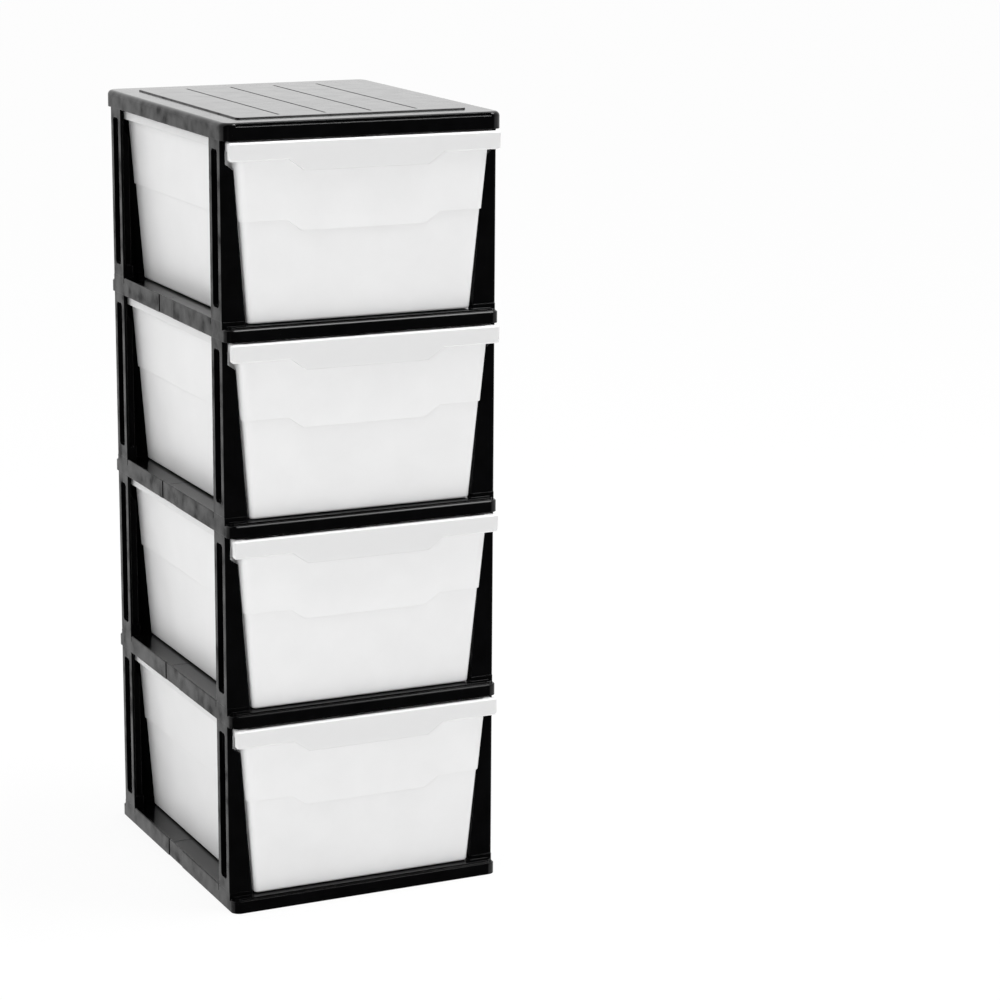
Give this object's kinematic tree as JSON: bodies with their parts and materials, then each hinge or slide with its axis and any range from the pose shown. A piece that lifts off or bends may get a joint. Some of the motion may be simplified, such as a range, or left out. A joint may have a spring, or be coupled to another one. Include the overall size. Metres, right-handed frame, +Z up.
{
  "type": "drawer tower",
  "caption": "Tall free-standing drawer tower: translucent tapered drawers slide on plug-together black plastic shelves carried by slotted corner posts under a panelled lid.",
  "frame": {"origin": "floor level under the middle of the frame; overall box is 2.25 mm further forward than the frame because the drawer rims stand ahead of it", "axes": "+Z up, drawers open along -Y, +X to the right of someone facing the drawers"},
  "size_m": [0.303, 0.3625, 0.8189],
  "materials": {
    "frame_black": "glossy black injection-moulded plastic with faint moulding ripple",
    "drawer_white": "translucent milky white polypropylene, satin gloss"
  },
  "bodies": {
    "frame": {"lid": "frame_black", "shelf_1_front": "frame_black", "shelf_1_rear": "frame_black", "shelf_2_front": "frame_black", "shelf_2_rear": "frame_black", "shelf_3_front": "frame_black", "shelf_3_rear": "frame_black", "shelf_4_front": "frame_black", "shelf_4_rear": "frame_black", "post_1_front_left": "frame_black", "post_1_front_right": "frame_black", "post_1_rear_left": "frame_black", "post_1_rear_right": "frame_black", "post_2_front_left": "frame_black", "post_2_front_right": "frame_black", "post_2_rear_left": "frame_black", "post_2_rear_right": "frame_black", "post_3_front_left": "frame_black", "post_3_front_right": "frame_black", "post_3_rear_left": "frame_black", "post_3_rear_right": "frame_black", "post_4_front_left": "frame_black", "post_4_front_right": "frame_black", "post_4_rear_left": "frame_black", "post_4_rear_right": "frame_black"},
    "drawer_1": {"drawer_1": "drawer_white"},
    "drawer_2": {"drawer_2": "drawer_white"},
    "drawer_3": {"drawer_3": "drawer_white"},
    "drawer_4": {"drawer_4": "drawer_white"}
  },
  "joints": [
    {"name": "drawer_1_slide", "type": "slide", "parent": "frame", "child": "drawer_1", "axis": [0, -1, 0], "range_m": [0, 0.26]},
    {"name": "drawer_2_slide", "type": "slide", "parent": "frame", "child": "drawer_2", "axis": [0, -1, 0], "range_m": [0, 0.26]},
    {"name": "drawer_3_slide", "type": "slide", "parent": "frame", "child": "drawer_3", "axis": [0, -1, 0], "range_m": [0, 0.26]},
    {"name": "drawer_4_slide", "type": "slide", "parent": "frame", "child": "drawer_4", "axis": [0, -1, 0], "range_m": [0, 0.26]}
  ]
}
